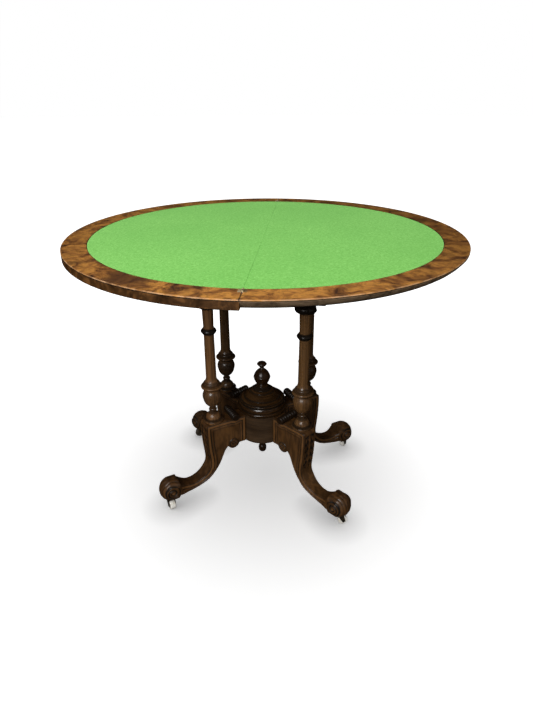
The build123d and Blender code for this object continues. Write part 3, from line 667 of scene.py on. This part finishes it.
# Dark bands of the dome, painted shade at its steps and grooves, as shares of its height with their depth
DOME_BANDS = ((0.0, 0.03, 0.8), (0.170, 0.200, 0.8), (0.335, 0.415, 0.85), (0.462, 0.490, 0.8),
              (0.555, 0.600, 0.7), (0.765, 0.810, 0.7), (0.855, 0.999, 0.8))


def column_tenon():
    """Length of a column's tenon: what the column's box has below the legs' tops."""
    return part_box("leg_front_left")[1].z - COLUMN_LOW


class CARDTABLE_OT_columns(bpy.types.Operator):
    """Finish the four columns with dark rings of dirt and painted shade"""

    bl_idname = "card_table.columns"
    bl_label = "Finish the columns"

    def execute(self, context):
        wood = context.scene.card_table_wood
        low = COLUMN_LOW + column_tenon()
        high = COLUMN_HIGH - column_tenon()
        # Lit and shaded copies of one walnut, as painted light and shade
        for name, (depth, vase) in COLUMN_PAINTED_LIGHT.items():
            light = [depth * c for c in wood.column_light]
            dark = [depth * c for c in wood.column_dark]
            bands = sorted((*COLUMN_BANDS, (*VASE_SHARES, vase)))
            finish = walnut("column_walnut_" + name, light, dark, (1, 1, 0.10), (0.24, 0.42),
                            darken=height_mask(low, high, bands))
            paint(finish, "column_" + name)
        return {"FINISHED"}


class CARDTABLE_OT_drum(bpy.types.Operator):
    """Finish the drum, its dome, finial and drop"""

    bl_idname = "card_table.drum"
    bl_label = "Finish the drum"

    def execute(self, context):
        wood = context.scene.card_table_wood
        paint(walnut("drum_walnut", wood.drum_light, wood.drum_dark, (0.25, 0.25, 1.4)), "centre_drum")
        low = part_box("centre_drum")[1].z
        dark = [0.34 * c for c in wood.walnut_light]
        shade = [0.30 * c for c in wood.walnut_dark]
        # The dark bands on the dome are painted shade
        paint(walnut("dome_walnut", dark, shade, (0.3, 0.3, 1.2), (0.18, 0.30), gloss=0.35,
                     darken=height_mask(low, DOME_HIGH, DOME_BANDS)), "drum_dome")
        black = [0.24 * c for c in wood.walnut_light]
        paint(walnut("finial_walnut", black, shade, (1, 1, 0.3), (0.24, 0.38), gloss=0.3),
              "dome_finial", "drum_drop")
        return {"FINISHED"}


# Carved legs. Reach, height and width are in metres, from the middle of the drum and from the floor.


FOOT_SCROLL = (0.287, 0.062)
END_SCROLL = (0.101, 0.162)
SCROLL_RADIUS = 0.0175
SCROLL_FACE = 0.0280
BOSS_RADIUS = 0.0045
CROWN_START = 0.262
CROWN_HALF_ANGLE = math.radians(56)
FOOT_LOBES = 6
CASTOR_SEAT = 0.036
LEG_SIDE = 0.014
KNEE_TOP = 0.229
KNEE_REACH = 0.16
KNEE_FOOT = 0.118
KNEE_MARGIN = 0.0035
KNEE_LEAVES = 5
STRAIGHT_START = 0.20
# Height as a share of the bead or groove, distance from the edge, width
SIDE_BEADS = ((1.2, 0.0065, 0.0075), (0.6, 0.0150, 0.0060))
SIDE_GROOVES = ((0.8, 0.0016, 0.0024), (1.2, 0.0114, 0.0026), (0.7, 0.0190, 0.0020))
# How pale each leg is: painted light and shade, the back legs and the front right one darker, set in the same
# way as the columns
LEG_PAINTED_LIGHT = {"front_left": 1.0, "front_right": 0.84, "back_left": 0.40, "back_right": 0.66}


def leg_matrix(name):
    """Place of a leg: X points out along the leg, from the middle of the drum."""
    swivel = next(j for j in frame["joints"] if j["name"] == "castor_swivel_" + name)
    low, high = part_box("centre_drum")
    middle = (low + high) / 2
    away = Vector(swivel["pos_m"]) - middle
    azimuth = math.atan2(away.y, away.x)
    return Matrix.Translation((middle.x, middle.y, 0)) @ Matrix.Rotation(azimuth, 4, "Z")


def sharp_line_finder(piece, sharp=math.radians(38), step=0.0012, off_middle=0.012):
    """A search tree of points along the corners of a leg's knee, ankle and top, but not of its arch."""
    bpy.context.view_layer.update()
    mesh = piece.data
    points = coordinates(mesh)
    normals = {}
    for face in mesh.polygons:
        for key in face.edge_keys:
            normals.setdefault(key, []).append(face.normal.copy())
    found = []
    for (a, b), pair in normals.items():
        if len(pair) != 2 or pair[0].angle(pair[1], 0) < sharp:
            continue
        if min(pair[0].z, pair[1].z) < -0.2:
            continue
        start, end = points[a], points[b]
        if abs(start[1]) < off_middle or abs(end[1]) < off_middle:
            continue
        count = max(1, int(np.linalg.norm(end - start) / step))
        found += [start + (end - start) * i / count for i in range(count + 1)]
    tree = KDTree(len(found))
    for index, point in enumerate(found):
        tree.insert(point, index)
    tree.balance()
    return tree


def framed_side(near, sideways, carving):
    """A bold bead and a slight one with grooves beside them, following the edge of a leg's side."""
    beads = sum(share * ridge(near, middle, width) for share, middle, width in SIDE_BEADS)
    grooves = sum(share * ridge(near, middle, width) for share, middle, width in SIDE_GROOVES)
    return sideways * (carving.bead_height * beads - carving.groove_depth * grooves)


def leaf_bud(run, v):
    """Height, from 0 to 1, of one bud: run goes from its root to its tip and v across, both in shares."""
    edge = 0.18 + 0.62 * np.sin(math.pi * run ** 0.8)
    body = np.clip(1 - (v / edge) ** 2, 0, None) ** 0.5
    vein = ridge(np.abs(v), 0.30, 0.20)
    return body * (0.55 + 0.45 * run) - 0.45 * vein * body


def knee_chain(y, z, forward, half_width, carving):
    """A sunk panel with a chain of buds down the outer face of the knee, between two plain borders."""
    across = np.abs(y) / (half_width - KNEE_MARGIN)
    inside = smooth_step(1 - across, 0.0, 0.12) * smooth_step(z, KNEE_FOOT, KNEE_FOOT + 0.006)
    inside = inside * smooth_step(KNEE_TOP - z, 0.0, 0.004) * forward
    run = (KNEE_TOP - z) / (KNEE_TOP - KNEE_FOOT) * KNEE_LEAVES
    leaf = leaf_bud(run % 1.0, y / half_width * 1.5)
    curls = 0.8 * np.abs(np.cos(math.pi * (run + 0.25))) ** 0.7 * ridge(across, 0.72, 0.34)
    return inside * (np.maximum(leaf, curls) * carving.leaf_height - carving.sinking)


def foot_lobes(x, y, z, carving):
    """Lobes that run over the crown of the foot and round its toe, parted by grooves."""
    dx, dz = x - FOOT_SCROLL[0], z - FOOT_SCROLL[1]
    bearing = np.arctan2(dz, dx)
    latitude = np.arctan2(y, np.hypot(dx, dz))
    phase = latitude * FOOT_LOBES / (2 * CROWN_HALF_ANGLE) + 0.10 * np.sin(5 * bearing)
    lobe = np.abs(np.cos(math.pi * phase)) ** 0.6
    start = smooth_step(x, CROWN_START + 0.006 * (1 - lobe), CROWN_START + 0.004 + 0.006 * (1 - lobe))
    above = smooth_step(z, CASTOR_SEAT, CASTOR_SEAT + 0.008) * (1 - smooth_step(np.abs(latitude), 0.95, 1.15))
    return start * above * carving.lobe_height * (1.6 * lobe - 0.9)


def foot_volute(x, y, z, sideways, carving):
    """A spiral cut in each face of the foot scroll round a small boss, with a groove about the scroll."""
    r = np.hypot(x - FOOT_SCROLL[0], z - FOOT_SCROLL[1])
    bearing = np.arctan2(z - FOOT_SCROLL[1], x - FOOT_SCROLL[0])
    turns = (r / (SCROLL_RADIUS / 2) + bearing / TURN) % 1.0
    inside = smooth_step(SCROLL_RADIUS - 0.001 - r, 0.0, 0.001)
    on_face = smooth_step(np.abs(y), SCROLL_FACE - 0.001, SCROLL_FACE) * inside * sideways
    groove = ridge(turns, 0.5, 0.46)
    boss = np.clip(1 - (r / BOSS_RADIUS) ** 2, 0, None) ** 0.5
    on_boss = r < BOSS_RADIUS + 0.0003
    spiral = on_face * np.where(on_boss, 1.6 * boss * MILLIMETRE, -carving.spiral_depth * groove)
    beside = smooth_step(SCROLL_FACE + 0.0005 - np.abs(y), 0, 0.0008)
    beside = beside * smooth_step(np.abs(y), LEG_SIDE, LEG_SIDE + 0.004)
    beside = beside * smooth_step(np.abs(z), 0.034, 0.040) * smooth_step(x, 0.240, CROWN_START)
    return spiral - beside * 0.8 * carving.spiral_depth * ridge(r, SCROLL_RADIUS + 0.0022, 0.0036)


def round_foot(piece, passes):
    """Softens the corners of the foot into a bulb, away from its scroll faces and its seat on the castor."""
    points = coordinates(piece.data)
    x, y, z = points.T
    r = np.hypot(x - FOOT_SCROLL[0], z - FOOT_SCROLL[1])
    scroll = smooth_step(np.abs(y), 0.0262, 0.0268) * smooth_step(SCROLL_RADIUS + 0.003 - r, 0, 0.002)
    on_foot = smooth_step(x, CROWN_START, CROWN_START + 0.010)
    weight = on_foot * smooth_step(z, CASTOR_SEAT, CASTOR_SEAT + 0.010) * (1 - scroll)
    group = piece.vertex_groups.new(name="foot")
    for index in np.nonzero(weight > 0.01)[0]:
        group.add([int(index)], float(weight[index]), "REPLACE")
    make_active(piece)
    smooth = piece.modifiers.new("rounded foot", "SMOOTH")
    smooth.iterations = passes
    smooth.vertex_group = group.name
    bpy.ops.object.modifier_apply(modifier=smooth.name)


class CARDTABLE_OT_legs(bpy.types.Operator):
    """Carve the four legs"""

    bl_idname = "card_table.legs"
    bl_label = "Carve the legs"

    def execute(self, context):
        carving = context.scene.card_table_carving
        wood = context.scene.card_table_wood
        for name, depth in LEG_PAINTED_LIGHT.items():
            light = [depth * c for c in wood.walnut_light]
            dark = [depth * c for c in wood.walnut_dark]
            finish = walnut("carved_walnut_" + name, light, dark, (0.6, 0.6, 0.3), attribute="carving")
            place = leg_matrix(name)
            piece = copied_node("leg_" + name, "carved_leg_" + name)
            piece.data.transform(place.inverted())
            tree = sharp_line_finder(piece)
            make_active(piece)
            remesh = piece.modifiers.new("carved mesh", "REMESH")
            remesh.mode = "VOXEL"
            remesh.voxel_size = carving.voxel
            bpy.ops.object.modifier_apply(modifier=remesh.name)
            round_foot(piece, carving.foot_rounding)
            points = coordinates(piece.data)
            normals = vertex_normals(piece.data)
            x, y, z = points.T
            near = np.array([tree.find(point)[2] for point in points])
            sideways = smooth_step(np.abs(normals[:, 1]), 0.70, 0.90) * (np.abs(y) > LEG_SIDE)
            forward = smooth_step(normals[:, 0], 0.45, 0.75) * (x > KNEE_REACH)
            half_width = np.abs(y[z > STRAIGHT_START]).max()
            on_foot = smooth_step(x, CROWN_START - 0.004, CROWN_START + 0.004)
            relief = framed_side(near, sideways * (1 - on_foot), carving)
            relief = relief + knee_chain(y, z, forward, half_width, carving)
            relief = relief + foot_lobes(x, y, z, carving)
            relief = relief + foot_volute(x, y, z, sideways, carving)
            # The relief is kept so that the finish paints shade in the hollows and a highlight on the crests
            raise_by(piece, relief)
            piece.data.transform(place)
            make_active(piece)
            bpy.ops.object.shade_smooth()
            settle(piece, "carved_leg_" + name, finish, "base", "walnut", "leg_" + name)
        return {"FINISHED"}


PETALS = 8
ROSETTE_RADIUS = 0.0145
ROSETTE_THICKNESS = 0.0035
ROSETTE_SEAT = 0.0215
# Shares of a rosette's radius
ROSETTE_BOSS = 0.24
ROSETTE_LEAF = 0.66


class CARDTABLE_OT_rosettes(bpy.types.Operator):
    """Carve the rosettes on the scrolls at the legs' inner ends"""

    bl_idname = "card_table.rosettes"
    bl_label = "Carve the rosettes"

    def execute(self, context):
        wood = context.scene.card_table_wood
        finish = walnut("rosette_walnut", wood.walnut_light, wood.walnut_dark, (1, 1, 0.3),
                        attribute="carving")
        deselect()
        bpy.ops.mesh.primitive_uv_sphere_add(segments=96, ring_count=48, radius=1)
        flower = context.object
        edit(flower)
        bpy.ops.mesh.select_all(action="SELECT")
        bpy.ops.mesh.bisect(plane_co=(0, 0, 0), plane_no=(0, 0, 1), clear_inner=True)
        bpy.ops.object.mode_set(mode="OBJECT")
        points = coordinates(flower.data)
        r = np.hypot(points[:, 0], points[:, 1])
        bearing = np.arctan2(points[:, 1], points[:, 0])
        petal = np.abs(np.cos(PETALS / 2 * bearing)) ** 0.7
        boss = np.clip(1 - (r / ROSETTE_BOSS) ** 2, 0, None) ** 0.5
        along = np.clip((r - ROSETTE_BOSS) / ROSETTE_LEAF, 0, 1)
        leaf = np.sin(math.pi * along) ** 0.6 * (0.30 + 0.55 * petal)
        rim = 0.55 * ridge(r, 0.94, 0.12)
        height = np.maximum(np.maximum(boss, leaf), rim)
        height = np.where(r > 0.985, 0, 0.25 + 0.75 * height)
        height[points[:, 2] < 0.02] = 0
        # The carving value paints shade on the rosette's low ground and a highlight on its raised parts
        attribute = flower.data.attributes.new("carving", "FLOAT", "POINT")
        attribute.data.foreach_set("value", (2.2 * height - 1.7).astype(np.float32))
        points = np.c_[points[:, :2] * ROSETTE_RADIUS, height * ROSETTE_THICKNESS]
        flower.data.vertices.foreach_set("co", points.astype(np.float32).ravel())
        flower.data.update()
        copies = []
        for name in CORNERS:
            for side in (-1, 1):
                piece = flower.copy()
                piece.data = flower.data.copy()
                context.scene.collection.objects.link(piece)
                seat = Matrix.Translation((END_SCROLL[0], side * ROSETTE_SEAT, END_SCROLL[1]))
                turn = Matrix.Rotation(-side * math.pi / 2, 4, "X")
                piece.data.transform(leg_matrix(name) @ seat @ turn)
                copies.append(piece)
        bpy.data.objects.remove(flower)
        deselect()
        for piece in copies:
            piece.select_set(True)
        context.view_layer.objects.active = copies[0]
        bpy.ops.object.join()
        piece = context.object
        edit(piece)
        bpy.ops.mesh.select_all(action="SELECT")
        bpy.ops.mesh.remove_doubles(threshold=0.00001)
        bpy.ops.object.mode_set(mode="OBJECT")
        bpy.ops.object.shade_smooth()
        settle(piece, "carved_rosettes", finish, "base", "walnut", "leg_rosettes")
        return {"FINISHED"}


class CARDTABLE_OT_rolls(bpy.types.Operator):
    """Blacken the reeded rolls"""

    bl_idname = "card_table.rolls"
    bl_label = "Finish the rolls"

    def execute(self, context):
        wood = context.scene.card_table_wood
        black = [0.12 * c for c in wood.walnut_light]
        paint(walnut("roll_walnut", black, wood.black_and_shade, (1, 1, 1), (0.34, 0.48), gloss=0.1),
              *("reeded_roll_" + name for name in CORNERS))
        return {"FINISHED"}


class CARDTABLE_OT_castors(bpy.types.Operator):
    """Finish the castors"""

    bl_idname = "card_table.castors"
    bl_label = "Finish the castors"

    def execute(self, context):
        dark_brass = metal("dark_brass", (0.070, 0.050, 0.028), (0.014, 0.011, 0.008), 0.34, 0.6)
        paint(dark_brass, "castor_cups", "castor_cup_screws")
        white = glazed("glazed_white", (0.52, 0.46, 0.36), (0.82, 0.79, 0.72), (0.88, 0.86, 0.81))
        brown = glazed("glazed_brown", (0.020, 0.016, 0.012), (0.050, 0.040, 0.030), (0.090, 0.080, 0.065))
        for name in CORNERS:
            paint(dark_brass, "castor_horn_" + name, "castor_axle_" + name)
            # The back left wheel is a dark copy of the glazed wheels, as painted shade
            paint(brown if name == "back_left" else white, "castor_wheel_" + name)
        return {"FINISHED"}


# Studio. Lengths are in metres.


FLOOR_RADIUS = 30
WALL_RADIUS = 28
WALL_HEIGHT = 60
BRIGHTEST_GLOW = 1.1
SENSOR_WIDTH = 36
# Each light's side length, place and aim, and whether it falls on the floor
LIGHTS = {
    "overhead": (2.6, (0, -0.1, 3.0), (0, 0, 0), True),
    "key": (1.2, (-0.6, -2.3, 1.9), (0, 0, 0.45), False),
    "fill": (1.6, (2.0, -1.2, 1.2), (0, 0, 0.40), False),
}


def pale_room(stage):
    """A room with a white band of wall in front of the table, dimmer behind it, above and below."""
    world = bpy.data.worlds.new("pale_room")
    world.use_nodes = True
    tree = world.node_tree
    split = tree.nodes.new("ShaderNodeSeparateXYZ")
    turned = tree.nodes.new("ShaderNodeMapping")
    turned.inputs["Rotation"].default_value = (0, 0, stage.window)
    tree.links.new(tree.nodes.new("ShaderNodeTexCoord").outputs["Generated"], turned.inputs["Vector"])
    tree.links.new(turned.outputs["Vector"], split.inputs[0])

    def shades(axis, stops):
        share = tree.nodes.new("ShaderNodeMapRange")
        share.inputs["From Min"].default_value = -1
        tree.links.new(split.outputs[axis], share.inputs["Value"])
        ramp = tree.nodes.new("ShaderNodeValToRGB")
        for element, (place, shade) in zip(ramp.color_ramp.elements, stops):
            element.position = place
            element.color = (shade, shade, shade, 1)
        for place, shade in stops[2:]:
            ramp.color_ramp.elements.new(place).color = (shade, shade, shade, 1)
        tree.links.new(share.outputs["Result"], ramp.inputs["Fac"])
        return ramp.outputs["Color"]

    mix = tree.nodes.new("ShaderNodeMix")
    mix.data_type = "RGBA"
    mix.blend_type = "MULTIPLY"
    mix.inputs[0].default_value = 1.0
    upward = ((0.47, stage.below), (0.49, 1), (0.70, 1), (0.80, stage.ceiling))
    tree.links.new(shades("Z", upward), mix.inputs[6])
    tree.links.new(shades("Y", ((0.30, 1), (0.75, stage.behind))), mix.inputs[7])
    background = tree.nodes["Background"]
    tree.links.new(mix.outputs[2], background.inputs["Color"])
    background.inputs["Strength"].default_value = stage.sky
    world.cycles_visibility.glossy = False
    return world


class CARDTABLE_OT_stage(bpy.types.Operator):
    """Set the floor, the lights and the camera"""

    bl_idname = "card_table.stage"
    bl_label = "Set the studio"

    def execute(self, context):
        stage = context.scene.card_table_stage
        deselect()
        bpy.ops.mesh.primitive_circle_add(vertices=96, radius=FLOOR_RADIUS, fill_type="NGON",
                                          location=(0, 0, 0))
        floor = context.object
        floor.name = "floor"
        bench = Bench("pale_floor")
        # Painted shade on the floor: its glow is dimmer near the middle of the table, and an ambient
        # occlusion node dims it near the pieces as painted contact shadows
        glow = bench.sums("MULTIPLY_ADD", bench.from_axis(), stage.glow_rise, stage.floor_glow)
        glow = bench.sums("MINIMUM", glow, BRIGHTEST_GLOW)
        near = bench.add("ShaderNodeAmbientOcclusion", Distance=stage.contact).outputs["AO"]
        near = bench.sums("POWER", near, 2.0)
        glow = bench.sums("MULTIPLY", glow, bench.sums("MULTIPLY_ADD", near, 0.75, 0.25))
        bench.tree.links.new(glow, bench.shader.inputs["Emission Strength"])
        bench.finish((0.90, 0.90, 0.90, 1.0), 0.9, Emission_Color=(1, 1, 1, 1))
        floor.data.materials.append(bench.material)
        bpy.ops.mesh.primitive_cylinder_add(vertices=96, radius=WALL_RADIUS, depth=WALL_HEIGHT,
                                            end_fill_type="NOTHING", location=(0, 0, 0))
        wall = context.object
        wall.name = "wall"
        bench = Bench("white_wall")
        bench.finish((0, 0, 0, 1.0), 1.0, Emission_Color=(1, 1, 1, 1), Emission_Strength=1.0)
        wall.data.materials.append(bench.material)
        # Only the camera sees the floor and the wall, so they don't light the table
        for piece in (floor, wall):
            piece.visible_diffuse = False
            piece.visible_glossy = False
            piece.visible_transmission = False
        wall.visible_shadow = False
        context.scene.world = pale_room(stage)
        without_floor = bpy.data.collections.new("all but the floor")
        without_floor.objects.link(floor)
        without_floor.collection_objects[0].light_linking.link_state = "EXCLUDE"
        for name, (size, spot, aim, on_floor) in LIGHTS.items():
            lamp = bpy.data.lights.new(name, "AREA")
            lamp.energy = getattr(stage, name)
            lamp.size = size
            light = bpy.data.objects.new(name, lamp)
            light.location = spot
            light.rotation_euler = (Vector(aim) - Vector(spot)).to_track_quat("-Z", "Y").to_euler()
            context.scene.collection.objects.link(light)
            if not on_floor:
                light.light_linking.receiver_collection = without_floor
        lens = bpy.data.cameras.new("camera")
        lens.lens = stage.lens
        lens.sensor_width = SENSOR_WIDTH
        lens.sensor_fit = "AUTO"
        camera = bpy.data.objects.new("camera", lens)
        context.scene.collection.objects.link(camera)
        heading = Matrix.Rotation(stage.heading, 4, "Z")
        tilt = Matrix.Rotation(math.pi / 2 - stage.tilt, 4, "X")
        roll = Matrix.Rotation(stage.roll, 4, "Z")
        camera.matrix_world = Matrix.Translation(stage.camera_place) @ heading @ tilt @ roll
        context.scene.camera = camera
        context.scene.view_settings.view_transform = "Standard"
        return {"FINISHED"}


STEPS = (
    CARDTABLE_OT_stage,
    CARDTABLE_OT_baize,
    CARDTABLE_OT_top,
    CARDTABLE_OT_fittings,
    CARDTABLE_OT_box,
    CARDTABLE_OT_columns,
    CARDTABLE_OT_drum,
    CARDTABLE_OT_legs,
    CARDTABLE_OT_rosettes,
    CARDTABLE_OT_rolls,
    CARDTABLE_OT_castors,
)


class CARDTABLE_PT_panel(bpy.types.Panel):
    """The steps that dress the card table"""

    bl_idname = "CARDTABLE_PT_panel"
    bl_label = "Card Table"
    bl_space_type = "VIEW_3D"
    bl_region_type = "UI"
    bl_category = "Card Table"

    def draw(self, context):
        for step in STEPS:
            self.layout.operator(step.bl_idname)
        for holder, group in SETTINGS.items():
            box = self.layout.box()
            box.label(text=group.__doc__)
            for name in group.__annotations__:
                box.prop(getattr(context.scene, holder), name)


def register():
    for group in SETTINGS.values():
        bpy.utils.register_class(group)
    for holder, group in SETTINGS.items():
        setattr(bpy.types.Scene, holder, PointerProperty(type=group))
    for step in (*STEPS, CARDTABLE_PT_panel):
        bpy.utils.register_class(step)


def unregister():
    for step in reversed((*STEPS, CARDTABLE_PT_panel)):
        bpy.utils.unregister_class(step)
    for holder, group in SETTINGS.items():
        delattr(bpy.types.Scene, holder)
        bpy.utils.unregister_class(group)


def main():
    register()
    for step in STEPS:
        family, action = step.bl_idname.split(".")
        getattr(getattr(bpy.ops, family), action)()


if __name__ == "__main__":
    main()
